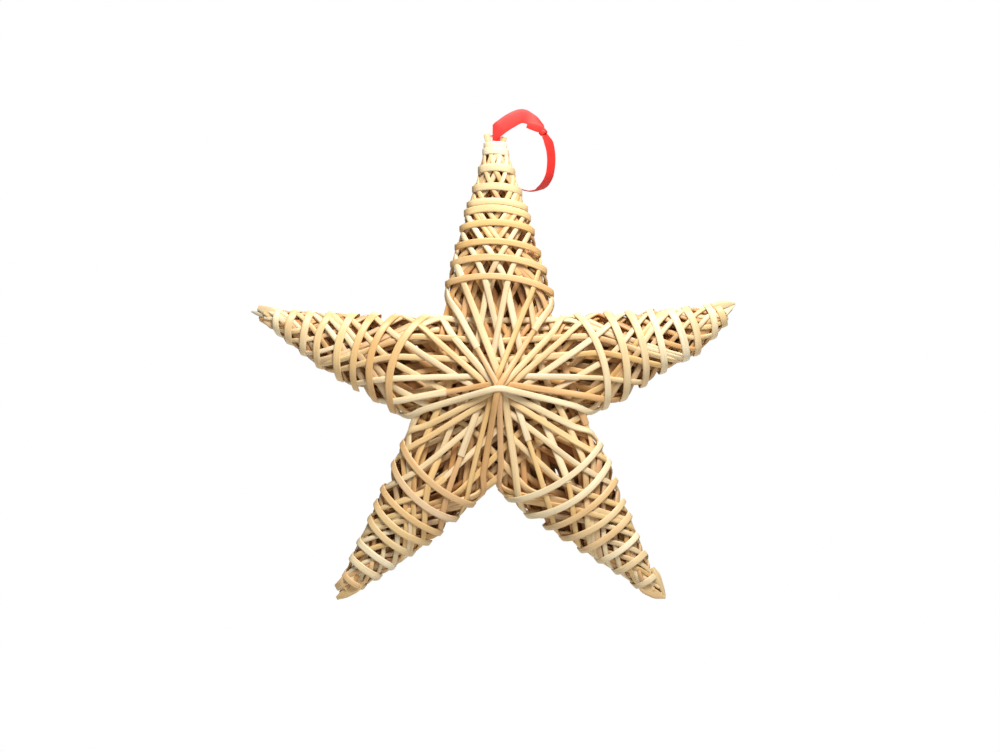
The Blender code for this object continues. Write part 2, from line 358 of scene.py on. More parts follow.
def winding_rows():
    """Turn positions measured along each arm."""
    rows = {
        "top": ((485, 146, 495, 145, 505, 146), (482, 152, 495, 150, 508, 153),
                (477, 171, 495, 167, 515, 173), (471, 190, 495, 186, 521, 193),
                (466, 206, 494, 201, 526, 210), (463, 214, 494, 208, 531, 219),
                (458, 230, 495, 222, 534, 233), (453, 249, 494, 241, 540, 255),
                (447, 266, 495, 257, 545, 273), (444, 286, 495, 276, 554, 296)),
        "left": ((280, 336, 275, 321, 280, 309), (291, 346, 288, 326, 297, 311),
                 (305, 356, 300, 345, 311, 311), (321, 370, 315, 346, 334, 311),
                 (343, 381, 335, 355, 356, 313), (358, 394, 352, 360, 378, 313),
                 (379, 404, 369, 360, 401, 313), (396, 416, 388, 375, 431, 315)),
        "right": ((714, 303, 722, 314, 725, 326), (706, 304, 714, 319, 713, 338),
                  (684, 309, 698, 334, 698, 360), (668, 309, 682, 334, 686, 361),
                  (648, 308, 662, 345, 662, 371), (627, 311, 646, 354, 642, 387),
                  (604, 309, 627, 359, 621, 401), (574, 313, 602, 355, 603, 410)),
        "lower_left": ((362, 586, 352, 583, 344, 574), (382, 578, 365, 570, 350, 556),
                       (394, 567, 371, 553, 357, 540), (414, 553, 386, 540, 369, 516),
                       (434, 544, 396, 529, 376, 501), (442, 532, 406, 515, 383, 487),
                       (460, 519, 414, 498, 394, 460), (476, 504, 431, 483, 404, 441)),
        "lower_right": ((657, 574, 646, 583, 634, 587), (648, 551, 633, 563, 616, 571),
                        (639, 533, 625, 547, 597, 561), (632, 512, 613, 533, 580, 550),
                        (625, 498, 602, 523, 561, 537), (618, 476, 595, 504, 545, 526),
                        (612, 456, 580, 497, 524, 514), (601, 441, 566, 479, 505, 497)),
    }
    for arm in ARM:
        found = []
        for row in rows[arm.name]:
            three = []
            for x, y in (row[0:2], row[2:4], row[4:6]):
                q = np.array([(x - 496) * PIXEL, 0, (385 - y) * PIXEL])
                three.append((arm.length - float(q @ arm.axis)) / MM)
            found.append(three)
        WINDINGS[arm.name] = found


ARM = [Arm(i) for i in range(5)]


def narrowing(s):
    """How wide a straw is s mm from the tip, against its full width."""
    return np.interp(s, (0, 12, 45, 90), (0.64, 0.68, 0.78, 1.0))


def smoothstep(x):
    x = np.clip(x, 0.0, 1.0)
    return x * x * (3 - 2 * x)


def cone_part(arm, phi_base, turn, end, coming, level):
    """One straw in a cone, from the base to its end near the tip. It arrives
    from the point coming and keeps the lean that it has on the surface."""
    base = arm.base(phi_base)
    start, _ = arm.place(np.array([base]), np.array([phi_base]), level)
    w, t = arm.half_width(base), float(arm.half_depth(base))
    w, t = w * LEVEL[level][0], t * LEVEL[level][1]
    ahead = start[0] - coming
    around = (arm.side * (-w * math.sin(phi_base))
              + FRONT * (t * math.cos(phi_base)))
    around *= turn / np.linalg.norm(around)
    lean_in = math.atan2(float(ahead @ around), float(ahead @ arm.axis))
    lean_in = min(max(lean_in, math.radians(26)), math.radians(55))
    s, phi = base, phi_base
    s_list, f_list = [s], [phi]
    while s > end:
        share = float(smoothstep((base - s) / 22.0))
        lean = math.radians(float(np.interp(s, *LEAN)))
        lean = lean_in + (lean - lean_in) * share
        lean += math.radians(16) * abs(math.cos(phi)) ** 4 * min(s / 40.0, 1)
        w, t = float(arm.half_width(s)), float(arm.half_depth(s))
        w, t = w * LEVEL[level][0], t * LEVEL[level][1]
        radius = math.hypot(w * math.sin(phi), t * math.cos(phi))
        s -= STEP * math.cos(lean)
        phi += turn * STEP * math.sin(lean) / max(radius, 1.5)
        s_list.append(s)
        f_list.append(phi)
    s, phi = np.array(s_list), np.array(f_list)
    point, normal = arm.place(s, phi, level)
    return point, normal, s, phi


def rounded(points, spread):
    """Softens the corners of an even polyline, ends kept."""
    for _ in range(spread):
        inner = 0.25 * points[:-2] + 0.5 * points[1:-1] + 0.25 * points[2:]
        points = np.vstack([points[:1], inner, points[-1:]])
    return points


class Straw:
    pass


def make_straws():
    straws = []
    for line, (ia, ic) in enumerate(LINES):
        a, c = ARM[ia], ARM[ic]
        beside = a.axis + c.axis
        beside = beside / np.linalg.norm(beside)
        for facing in (1, -1):
            for k in range(K):
                jitter = RNG.normal(0, 1, 8)
                level = k // 6
                angles, passing = ((BASE_ANGLE, PASSING) if facing > 0
                                   else (BACK_ANGLE, BACK_PASSING))
                at_a = TOP_ANGLE if facing > 0 and ia == 0 else angles
                at_c = TOP_ANGLE if facing > 0 and ic == 0 else angles
                phi = math.radians(at_a[k] + 1.6 * jitter[0])
                phi_c = math.radians(at_c[k] + 1.6 * jitter[1])
                ends = []
                for index in (ia, ic):
                    end = 7.5 + 4.0 * RNG.random()
                    if index == 0:
                        end = 1.6 + 2.0 * RNG.random()
                    if level == 1:
                        end = 14.0 + 18.0 * RNG.random()
                    if level == 0:
                        end = 28.0 + 24.0 * RNG.random()
                    ends.append(end)
                d = passing[k] + 0.35 * jitter[2] * (1 if k < 15 else 0.4)
                rise = RISE[k] + 0.4 * jitter[3]
                if k >= 15:
                    rise = RISE[k] + 0.8 * (k - 14) * (TIE[line] - 2) / 2
                mid = MIDDLE + beside * d * MM + FRONT * facing * rise * MM
                pa, na, sa, fa = cone_part(a, facing * phi, facing, ends[0],
                                           mid, level)
                pc, nc, sc, fc = cone_part(c, facing * (math.pi - phi_c),
                                           -facing, ends[1], mid, level)
                legs = []
                for start, stop in ((pa[0], mid), (mid, pc[0])):
                    size = np.linalg.norm(stop - start)
                    n = max(3, int(round(size / (STEP * MM))))
                    t = np.linspace(0, 1, n + 1)[:, None]
                    legs.append(start + (stop - start) * t)
                middle = np.vstack([legs[0], legs[1][1:]])
                m = len(middle)
                blend = smoothstep(np.minimum(np.arange(m), np.arange(m)[::-1])
                                   * STEP / 16.0)[:, None]
                first = (np.arange(m) < m / 2)[:, None]
                edge = np.where(first, na[0], nc[0])
                nm = edge * (1 - blend) + FRONT * facing * blend
                nm /= np.linalg.norm(nm, axis=1)[:, None]
                straw = Straw()
                straw.line, straw.k, straw.facing = line, k, facing
                straw.p = rounded(np.vstack([pa[::-1], middle[1:-1], pc]), 2)
                straw.n = np.vstack([na[::-1], nm[1:-1], nc])
                zone = np.full(len(straw.p), -1)
                zone[:len(pa)] = ia
                zone[-len(pc):] = ic
                straw.zone = zone
                straw.turn = np.zeros(len(straw.p), int)
                straw.turn[:len(pa)] = facing
                straw.turn[-len(pc):] = -facing
                straw.phi = np.zeros(len(straw.p))
                straw.phi[:len(pa)] = fa[::-1]
                straw.phi[-len(pc):] = fc
                straw.s = np.full(len(straw.p), 99.0)
                straw.s[:len(pa)] = sa[::-1]
                straw.s[-len(pc):] = sc
                straws.append(straw)
    return straws


def settle(straws):
    """Weaves the straws: where two cross, the one that was laid later rests
    on the other. Each then bends as little as it can."""
    count = [len(s.p) for s in straws]
    which = np.repeat(np.arange(len(straws)), count)
    p = np.vstack([s.p for s in straws])
    n = np.vstack([s.n for s in straws])
    zone = np.concatenate([s.zone for s in straws])
    turn = np.concatenate([s.turn for s in straws])
    phi = np.concatenate([s.phi for s in straws])
    dist = np.concatenate([s.s for s in straws])
    line = np.array([s.line for s in straws])[which]
    rank = np.array([s.k for s in straws])[which]
    tie = np.array([TIE[v] for v in line])
    deep = rank // 6
    thin = np.clip(dist / 40.0, 0.0, 1.0) * 0.2 + 0.8
    width = STRAW_W * MM * narrowing(dist)
    uppers, lowers, needs, gaps = [], [], [], []
    total = len(p)
    order = np.argsort(p[:, 0], kind="stable")
    xs = p[order, 0]
    for start in range(0, total, 300):
        stop = min(start + 300, total)
        rows = order[start:stop]
        cols = order[np.searchsorted(xs, xs[start] - 0.0085):
                     np.searchsorted(xs, xs[stop - 1] + 0.0085)]
        d = p[rows][:, None, :] - p[cols][None, :, :]
        far = (np.abs(d) > 0.0085).any(axis=2)
        same = ((line[rows][:, None] == line[cols][None, :])
                & (zone[rows][:, None] == -1))
        ok = (~far) & (which[rows][:, None] < which[cols][None, :]) & (~same)
        i, j = np.nonzero(ok)
        dd = d[i, j]
        i, j = rows[i], cols[j]
        agree = np.einsum("ij,ij->i", n[i], n[j])
        keep = agree > 0.25
        i, j, dd = i[keep], j[keep], dd[keep]
        nn = n[i] + n[j]
        nn /= np.linalg.norm(nn, axis=1)[:, None]
        high = np.einsum("ij,ij->i", dd, nn)
        flat = np.sqrt(np.maximum((dd * dd).sum(1) - high ** 2, 0))
        reach = 0.5 * (width[i] + width[j])
        keep = flat < reach
        i, j, high, flat, reach = (i[keep], j[keep], high[keep], flat[keep],
                                   reach[keep])
        both = (zone[i] >= 0) & (zone[i] == zone[j])
        crossing = turn[i] != turn[j]
        keep = (~both) | crossing
        i, j, high, flat, reach, both = (i[keep], j[keep], high[keep],
                                         flat[keep], reach[keep], both[keep])
        wave = -np.sin(2 * phi[i])
        plus_up = wave > 0
        middle = np.abs(np.cos(phi[i])) < 0.10
        cone_up = np.where(turn[i] > 0, plus_up, ~plus_up)
        laid = rank[i] * 10 + tie[i] > rank[j] * 10 + tie[j]
        mixed = deep[i] != deep[j]
        i_up = np.where(both & ~middle & ~mixed, cone_up, laid)
        sep = STRAW_T * MM * 0.5 * (thin[i] + thin[j]) * 0.96
        need = sep * np.sqrt(1 - (flat / reach) ** 2)
        up = np.where(i_up, i, j)
        low = np.where(i_up, j, i)
        gap = np.where(i_up, high, -high)
        uppers.append(up), lowers.append(low)
        needs.append(need), gaps.append(gap)
    up, low = np.concatenate(uppers), np.concatenate(lowers)
    need, gap = np.concatenate(needs), np.concatenate(gaps)
    x = np.zeros(total)
    inner = np.ones(total, bool)
    starts = np.cumsum([0] + count[:-1])
    ends = np.cumsum(count) - 1
    inner[starts] = inner[ends] = False
    idx = np.nonzero(inner)[0]
    for step in range(260):
        short = need - (gap + x[up] - x[low])
        hit = short > 0
        raise_by = np.zeros(total)
        lower_by = np.zeros(total)
        np.maximum.at(raise_by, up[hit], short[hit])
        np.maximum.at(lower_by, low[hit], short[hit])
        x += 0.42 * (raise_by - lower_by)
        if step < 230:
            smooth = x.copy()
            for _ in range(2):
                smooth[idx] = (0.25 * smooth[idx - 1] + 0.5 * smooth[idx]
                               + 0.25 * smooth[idx + 1])
            x = 0.45 * x + 0.55 * smooth
            x *= 0.996
    print("push mm, percentiles 1 10 50 90 99:",
          np.round(np.percentile(x[deep == 2], [1, 10, 50, 90, 99]) * 1000, 2))
    edge = np.abs(np.cos(phi)) ** 3 * (zone >= 0)
    x = np.clip(x, -5.0 * MM, 3.4 * MM)
    x = np.minimum(x, (3.2 - 2.9 * edge) * MM + (zone < 0) * MM)
    x = np.where(zone >= 0, np.minimum(x, (0.2 + 0.12 * dist) * MM), x)
    for s, a, b in zip(straws, starts, ends):
        s.p = s.p + s.n * x[a:b + 1][:, None]
        deep = np.abs(s.p[:, 1])
        deep = np.minimum(deep, 24.3 * MM + 0.55 * (deep - 24.3 * MM))
        s.p[:, 1] = np.sign(s.p[:, 1]) * deep
        s.p = rounded(s.p, 1)
    short = need - (gap + x[up] - x[low])
    print("weave: %d pairs, worst overlap %.2f mm, over 0.5 mm: %d"
          % (len(up), short.max() * 1000, (short > 0.5 * MM).sum()))


# ---------------------------------------------------------------- mesh making
SIDES = 12


class Builder:
    def __init__(self):
        self.verts, self.faces, self.tint, self.fibre = [], [], [], []
        self.count = 0

    def tube(self, p, normal, width, height, tint, seed, start=0.0,
             power=0.66, hollow=(True, True), toward=None, share=None):
        """A flattened straw along p, wide across and thin along normal.
        Where share is over 0, its width leans to the direction toward."""
        m = len(p)
        tangent = np.gradient(p, axis=0)
        tangent /= np.linalg.norm(tangent, axis=1)[:, None]
        nn = normal - tangent * (normal * tangent).sum(1)[:, None]
        nn /= np.linalg.norm(nn, axis=1)[:, None]
        bb = np.cross(tangent, nn)
        if toward is not None:
            lean = toward - nn * (nn @ toward)[:, None]
            lean /= np.linalg.norm(lean, axis=1)[:, None]
            lean *= np.sign((bb * lean).sum(1))[:, None]
            bb = bb * (1 - share[:, None]) + lean * share[:, None]
            bb /= np.linalg.norm(bb, axis=1)[:, None]
        angle = 2 * math.pi * np.arange(SIDES) / SIDES
        ca, sa = np.cos(angle), np.sin(angle)
        cx = np.sign(ca) * np.abs(ca) ** power
        sx = np.sign(sa) * np.abs(sa) ** power
        along = start + np.concatenate(
            [[0], np.cumsum(np.linalg.norm(np.diff(p, axis=0), axis=1))])
        rings = []

        def ring(i, scale, shift, shade):
            centre = p[i] + tangent[i] * shift
            pts = (centre + bb[i] * (0.5 * width[i] * scale * cx)[:, None]
                   + nn[i] * (0.5 * height[i] * scale * sx)[:, None])
            rings.append((pts, tint[i] * shade, along[i]))

        # the inner rings of a hollow end are drawn dark: painted shade inside the straw
        if hollow[0]:
            ring(0, 0.30, 1.1 * MM, 0.22)
            ring(0, 0.66, 0.9 * MM, 0.35)
            ring(0, 0.78, 0.0, 1.05)
        else:
            ring(0, 0.45, 0.0, 0.9)
        for i in range(m):
            ring(i, 1.0, 0.0, 1.0)
        if hollow[1]:
            ring(m - 1, 0.78, 0.0, 1.05)
            ring(m - 1, 0.66, -0.9 * MM, 0.35)
            ring(m - 1, 0.30, -1.1 * MM, 0.22)
        else:
            ring(m - 1, 0.45, 0.0, 0.9)
        base = self.count
        for pts, shade, u in rings:
            self.verts.append(pts)
            self.tint.append(np.tile(shade, (SIDES, 1)))
            self.fibre.append(np.column_stack(
                [np.full(SIDES, u * 1000.0 + seed * 531.0), ca * 1.6, sa * 1.6]))
        for r in range(len(rings) - 1):
            a = base + r * SIDES
            for j in range(SIDES):
                k = (j + 1) % SIDES
                self.faces.append((a + j, a + k, a + SIDES + k, a + SIDES + j))
        self.faces.append(tuple(base + j for j in reversed(range(SIDES))))
        last = base + (len(rings) - 1) * SIDES
        self.faces.append(tuple(last + j for j in range(SIDES)))
        self.count += SIDES * len(rings)

    def make(self, name, look):
        mesh = bpy.data.meshes.new(name)
        verts = np.vstack(self.verts)
        mesh.from_pydata(verts.tolist(), [], self.faces)
        tint = mesh.attributes.new("tint", "FLOAT_COLOR", "POINT")
        rgba = np.column_stack([np.vstack(self.tint), np.ones(len(verts))])
        tint.data.foreach_set("color", rgba.astype(np.float32).ravel())
        fibre = mesh.attributes.new("fibre", "FLOAT_VECTOR", "POINT")
        fibre.data.foreach_set("vector",
                               np.vstack(self.fibre).astype(np.float32).ravel())
        mesh.shade_smooth()
        mesh.set_sharp_from_angle(angle=math.radians(50))
        mesh.materials.append(look)
        made = bpy.data.objects.new(name, mesh)
        bpy.context.scene.collection.objects.link(made)
        return made


CREAM = np.array([0.90, 0.81, 0.60])
PALE = np.array([0.88, 0.70, 0.41])
YELLOW = np.array([0.86, 0.62, 0.29])
TAN = np.array([0.74, 0.45, 0.20])
ROSE = np.array([0.78, 0.51, 0.29])
PALETTE = (CREAM, PALE, YELLOW, TAN, ROSE)
CHANCE = np.array([0.20, 0.30, 0.24, 0.16, 0.10])


def pick_tint():
    base = PALETTE[RNG.choice(5, p=CHANCE)]
    other = PALETTE[RNG.choice(5, p=CHANCE)]
    return base * 0.8 + other * 0.2


def blend(a, b, share):
    return a * (1 - share) + b * share


# colour of each turn of the wound straws, from the tip to the base
TURN_TINTS = {
    0: (CREAM * 1.06, CREAM, blend(CREAM, PALE, 0.3), blend(CREAM, PALE, 0.6),
        PALE, blend(PALE, YELLOW, 0.4), blend(YELLOW, PALE, 0.2),
        blend(YELLOW, ROSE, 0.2), blend(YELLOW, ROSE, 0.4),
        blend(YELLOW, ROSE, 0.5)),
    1: (PALE, CREAM * 1.08, blend(PALE, CREAM, 0.5), CREAM, CREAM * 1.03,
        blend(CREAM, PALE, 0.4), blend(CREAM, PALE, 0.5),
        blend(CREAM, PALE, 0.5)),
    2: (CREAM, blend(PALE, CREAM, 0.4), CREAM * 1.05, blend(PALE, ROSE, 0.4),
        blend(PALE, CREAM, 0.3), blend(PALE, ROSE, 0.3),
        blend(CREAM, PALE, 0.3), blend(CREAM, PALE, 0.25)),
    3: (blend(PALE, ROSE, 0.5), blend(PALE, CREAM, 0.4), CREAM * 1.05,
        blend(PALE, CREAM, 0.3), PALE, blend(YELLOW, ROSE, 0.3),
        blend(ROSE, CREAM, 0.4), blend(PALE, ROSE, 0.5)),
    4: (CREAM * 1.06, blend(PALE, ROSE, 0.3), blend(PALE, CREAM, 0.4), PALE,
        blend(PALE, YELLOW, 0.4), blend(YELLOW, ROSE, 0.3),
        blend(YELLOW, ROSE, 0.4), blend(YELLOW, ROSE, 0.4)),
}

# the flattened straw ends that make the points: route as x, y on the front
# and height over the middle plane in mm, width in the same units, colour
LEAVES = {
    1: ((((713, 307, 4.4), (721.5, 305, 4.9), (728.7, 304, 3.7), (735.6, 303.2, 1.1)),
         (5, 9, 6.4, 1.6), blend(PALE, CREAM, 0.4)),
        (((720, 317, 3.6), (725.4, 312.6, 4.4), (731, 308.2, 3.1), (735.4, 304.6, 0.9)),
         (4, 7, 4.2, 1.6), CREAM)),
    2: ((((639, 580, 4.4), (645.5, 588, 4.8), (655, 594.3, 3.4), (665.8, 598.5, 0.8)),
         (6, 12, 9.5, 2.4), blend(PALE, TAN, 0.3)),
        (((653.5, 569, 3.8), (657.4, 577, 3.8), (661.6, 587, 2.4), (665.4, 596.6, 0.8)),
         (4, 7.5, 5.4, 2.4), blend(PALE, CREAM, 0.3))),
    3: ((((363, 580, 4.4), (355.5, 587.5, 4.8), (345.6, 593.4, 3.7), (336.4, 599.0, 0.9)),
         (5, 10.5, 9.6, 3.8), blend(PALE, YELLOW, 0.5)),
        (((354, 571, 4.2), (348, 577.8, 4.8), (341.5, 584.8, 3.9), (335.8, 588.4, 1.4)),
         (6, 11.5, 10, 7), blend(PALE, ROSE, 0.5))),
    4: ((((281, 316, 4.6), (272.2, 312.6, 5.0), (265, 310.2, 4.2), (257.6, 307.2, 2.4)),
         (6, 10.5, 8.6, 5), blend(PALE, CREAM, 0.4)),
        (((281, 327, 4.4), (272.6, 323.0, 4.8), (266.9, 320.8, 3.8), (260.5, 317.6, 1.8)),
         (7, 12.5, 8.5, 2.4), blend(ROSE, CREAM, 0.6)),
        (((271, 318.5, 3.4), (265, 316.2, 3.6), (258, 313.7, 2.4), (250.6, 311.2, 0.7)),
         (4.8, 5.0, 4.4, 1.8), CREAM * np.array([0.72, 0.76, 0.86]))),
}


# joints that show from the front: line, straw, place along it, white side
SEEN_JOINTS = {
    (0, 1, 17): (0.41, False, CREAM), (4, 1, 17): (0.618, True, CREAM),
    (2, 1, 16): (0.419, False, CREAM * 1.05), (0, 1, 15): (0.595, False, CREAM),
    (0, 1, 14): (0.69, False, CREAM * 1.05), (4, 1, 15): (0.38, True, CREAM),
}


def straw_tubes(builder, straw, number):
    p, n = straw.p, straw.n
    m = len(p)
    tip = np.clip((straw.s + 2.0) / 42.0, 0, 1)
    shrink = 0.76 + 0.24 * smoothstep(tip)
    roll = RNG.normal(0, 0.13)
    side = np.cross(np.gradient(p, axis=0), n)
    side /= np.linalg.norm(side, axis=1)[:, None]
    wobble = roll + 0.12 * np.sin(np.arange(m) * 0.11 + number)
    normal = n * np.cos(wobble)[:, None] + side * np.sin(wobble)[:, None]
    size = 1.0 + RNG.normal(0, 0.06)
    grow = np.linspace(-0.07, 0.07, m) * (1 if RNG.random() < 0.5 else -1)
    width = STRAW_W * MM * narrowing(straw.s) * size * (1 + grow)
    inside = smoothstep((104 - straw.s) / 22.0)
    if straw.k < 6:
        width = width * (1.30 + 0.14 * inside)
    elif straw.k < 12:
        width = width * (0.84 + 0.38 * inside)
    height = STRAW_T * MM * shrink * size * (1 + 0.7 * grow)
    colour_a, colour_b = pick_tint(), pick_tint()
    if RNG.random() < 0.4:
        colour_b = CREAM * 1.04
    # inner straws are darkened towards brown: painted shade inside the star
    if straw.k < 12:
        inner_shade = (np.array([0.72, 0.58, 0.45]) if straw.k < 6
                  else np.array([0.88, 0.78, 0.66]))
        colour_a = colour_a * inner_shade
        colour_b = colour_b * (inner_shade + 0.05)
    # painted shade: inner straws darker towards the inside, surface straws browner where
    # the crossing ones lie over them, less of it on the top arm
    inside = inside * np.where(straw.zone == 0, 0.62, 1.0)
    if straw.k < 12:
        low = np.array([[0.06, 0.12, 0.16]] if straw.k < 6
                       else [[0.20, 0.30, 0.38]])
        shade = 1 - inside[:, None] * low
    else:
        over = -np.sin(2 * straw.phi) * straw.turn
        under = smoothstep((0.30 - over) / 0.6) * inside
        shade = 1 - under[:, None] * np.array([[0.22, 0.33, 0.42]])
    if straw.k in (12, 13):
        # painted shade on the outermost, where they lie deep between the arms
        hidden = smoothstep((straw.s - 94) / 10.0)[:, None] * (13.6 - straw.k) / 1.6
        shade = shade * (1 - hidden * np.array([[0.10, 0.17, 0.24]]))
    # the two lower arms a little darker: painted shade for the light from above
    lower = (straw.zone == 2) | (straw.zone == 3)
    shade = shade * (1 - 0.05 * (lower * inside)[:, None])
    key = (straw.line, straw.facing, straw.k)
    joint = None
    if RNG.random() < 0.62:
        joint = int(m * (0.25 + 0.5 * RNG.random()))
        thick_last = RNG.random() < 0.5
    if key in SEEN_JOINTS:
        share, thick_last, colour_b = SEEN_JOINTS[key]
        joint = int(m * share)
    fade = np.linspace(0, 1, m)[:, None]
    shift = pick_tint()
    if joint is None:
        tint = (colour_a * (1 - 0.35 * fade) + shift * 0.35 * fade) * shade
        builder.tube(p, normal, width, height, tint, number)
        return
    # a thin end is pushed into a thicker straw, whose cut end shows
    over = 3
    if thick_last:
        thin = slice(0, joint + over)
        thick = slice(joint, m)
    else:
        thin = slice(joint - over, m)
        thick = slice(0, joint)
    reach = np.abs(np.arange(m) - joint)
    slim = 1.0 - 0.20 * np.clip(1 - reach / 14.0, 0, 1)
    fat = 1.0 + 0.13 * np.clip(1 - reach / 22.0, 0, 1)
    tint = np.tile(colour_a, (m, 1)) * shade
    builder.tube(p[thin], normal[thin], (width * slim)[thin],
                 (height * slim)[thin], tint[thin], number,
                 hollow=(thin.start == 0, thin.stop == m))
    tint = (colour_b * (1 - 0.3 * fade) + shift * 0.3 * fade) * shade
    builder.tube(p[thick], normal[thick], (width * fat)[thick],
                 (height * fat * 1.12)[thick], tint[thick], number + 0.5)


# ------------------------------------------------------------ winding straws
def winding_path(arm):
    """(s, phi) along the wound straw, from the tip to the base."""
    rows = WINDINGS[arm.name]
    s_list, f_list = [], []
    n = 22
    for t, (first, middle, second) in enumerate(rows):
        # over the front, from the first edge to the second
        for j in range(n):
            f = j / n
            lean = first + (second - first) * f
            bow = (0.5 * (first + second) - middle) * math.sin(math.pi * f) ** 1.2
            s_list.append(lean - bow)
            f_list.append(math.pi * (1 - f) - 2 * math.pi * t)
        if t == len(rows) - 1:
            after = second + 8.0
        else:
            after = rows[t + 1][0]
        bow = 0.8 * (0.5 * (first + second) - middle)
        for j in range(n if t < len(rows) - 1 else n // 2):
            f = j / n
            s_list.append(second + (after - second) * f
                          - bow * math.sin(math.pi * f) ** 1.2)
            f_list.append(-math.pi * f - 2 * math.pi * t)
    return np.array(s_list), np.array(f_list)


def make_winding(arm, straws, look, number):
    s, phi = winding_path(arm)
    for _ in range(8):
        s[1:-1] = 0.25 * s[:-2] + 0.5 * s[1:-1] + 0.25 * s[2:]
    p, n = arm.place(s, phi)
    n = n - arm.axis * 0.12
    n /= np.linalg.norm(n, axis=1)[:, None]
    near = np.vstack([t.p[np.abs(t.zone - arm.index) < 1] for t in straws
                      if (t.zone == arm.index).any()])
    half = STRAW_T * 0.5 * MM
    flat_t = 0.95 * MM
    need = np.full(len(p), 1.2 * MM)
    for i in range(len(p)):
        d = near - p[i]
        high = d @ n[i]
        flat = np.sqrt(np.maximum((d * d).sum(1) - high ** 2, 0))
        close = (flat < 2.4 * MM) & (np.abs(high) < 5 * MM)
        if close.any():
            thin = 0.76 + 0.24 * min(max((s[i] + 2) / 42.0, 0), 1)
            need[i] = max(need[i], high[close].max() + half * thin * 0.9)
    wide = np.pad(need, 3, mode="edge")
    tall = np.max([wide[j:j + len(need)] for j in range(7)], axis=0)
    for _ in range(6):
        pad = np.pad(tall, 1, mode="edge")
        tall = 0.25 * pad[:-2] + 0.5 * pad[1:-1] + 0.25 * pad[2:]
    print("winding", arm.name, np.round(np.percentile(tall, [5, 50, 95]) * 1000, 2))
    edge = np.abs(np.cos(phi)) ** 3
    tall = np.minimum(tall, (4.2 - 2.9 * edge) * MM)
    tall = np.minimum(tall, (1.3 + 0.14 * np.maximum(s, 0)) * MM)
    p = p + n * (tall + 0.30 * flat_t)[:, None]
    m = len(p)
    wide_mm = 4.25 + 0.2 * math.sin(number * 2.1)
    width = wide_mm * MM * (0.84 + 0.16 * smoothstep(s / 30.0))
    if arm.index == 0:
        width = (4.7 - 0.6 * smoothstep(s / 70.0)) * MM
    width = width * (1 + 0.05 * np.sin(np.arange(m) * 0.09 + number))
    height = np.full(m, flat_t)
    row = (math.pi - phi) / (2 * math.pi)
    colours = np.array(TURN_TINTS[arm.index])
    tint = np.column_stack([np.interp(row, np.arange(len(colours)) + 0.2,
                                      colours[:, c]) for c in range(3)])
    waves = 0.08 * np.sin(np.arange(m) * 0.037 + number * 1.7)[:, None]
    # the windings of the two lower arms a little darker: painted shade for the light from
    # above
    if arm.index in (2, 3):
        tint = tint * 0.96
    tint = tint * (1 + waves * np.array([0.4, 0.8, 1.4]))
    builder = Builder()
    # round the edges of the arm it lies along the arm, with no corner out
    share = 0.85 * smoothstep((np.abs(np.cos(phi)) - 0.5) / 0.42)
    builder.tube(p, n, width, height, tint, 200 + number, power=0.6,
                 toward=arm.axis, share=share)
    name = "winding_" + arm.name
    made = builder.make(name, look)
    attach(made, "root")
    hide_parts("winding_straw_" + arm.name)
    return made


# --------------------------------------------------------------------- ribbon
RIBBON_W = 8.3 * MM
LOOP = np.array([
    # x, y, z in mm, from the fold beside the top point
    (-0.9, -2.9, 4.9), (3.4, -3.4, 8.3), (10.0, -2.8, 12.9),
    (17.1, -1.6, 16.0), (23.5, -0.9, 13.6),
    (28.4, -0.5, 9.6), (30.5, 0.0, 5.9), (32.1, 0.0, 3.1), (34.0, 0.2, -0.6),
    (35.2, 0.6, -5.5), (35.6, 1.4, -12.3), (34.6, 2.6, -20.1),
    (32.1, 4.2, -25.3), (29.3, 5.6, -28.1), (26.6, 7.0, -29.5),
    (21.6, 9.4, -29.9), (15.4, 12.4, -27.5), (8.8, 14.6, -20.0),
    (4.6, 13.4, -10.8), (2.2, 11.0, -3.4), (1.0, 7.4, 1.6),
    (0.2, 4.4, 2.6)]) * MM
# the turn of its width about its length, 0 being flat to the front
LOOP_TURN = np.radians([0, 0, 0, 4, 12, 24, 40, 46, 46, 49, 51, 53, 57,
                        67, 85, 90, 90, 90, 90, 90, 90, 90])
LOOP_WIDE = np.array([1, 1.08, 1.12, 1.08, 0.92, 0.7, 0.42, 0.75, 1, 1, 1,
                      1, 1, 1, 1, 1, 1, 1, 1, 1, 0.95, 0.8])


def smooth_route(route, extra, count):
    dense, more = [], []
    for i in range(len(route) - 1):
        i0, i3 = max(i - 1, 0), min(i + 2, len(route) - 1)
        p0, p1, p2, p3 = route[i0], route[i], route[i + 1], route[i3]
        for j in range(20):
            t = j / 20.0
            dense.append(0.5 * (2 * p1 + (p2 - p0) * t
                                + (2 * p0 - 5 * p1 + 4 * p2 - p3) * t * t
                                + (3 * p1 - p0 - 3 * p2 + p3) * t ** 3))
            more.append([e[i] + (e[i + 1] - e[i]) * (t * t * (3 - 2 * t))
                         for e in extra])
    dense.append(route[-1])
    more.append([e[-1] for e in extra])
    dense, more = np.array(dense), np.array(more)
    run = np.concatenate(
        [[0], np.cumsum(np.linalg.norm(np.diff(dense, axis=0), axis=1))])
    want = np.linspace(0, run[-1], count)
    point = np.column_stack([np.interp(want, run, dense[:, c])
                             for c in range(3)])
    extras = [np.interp(want, run, more[:, c]) for c in range(len(extra))]
    return point, extras, run[-1]


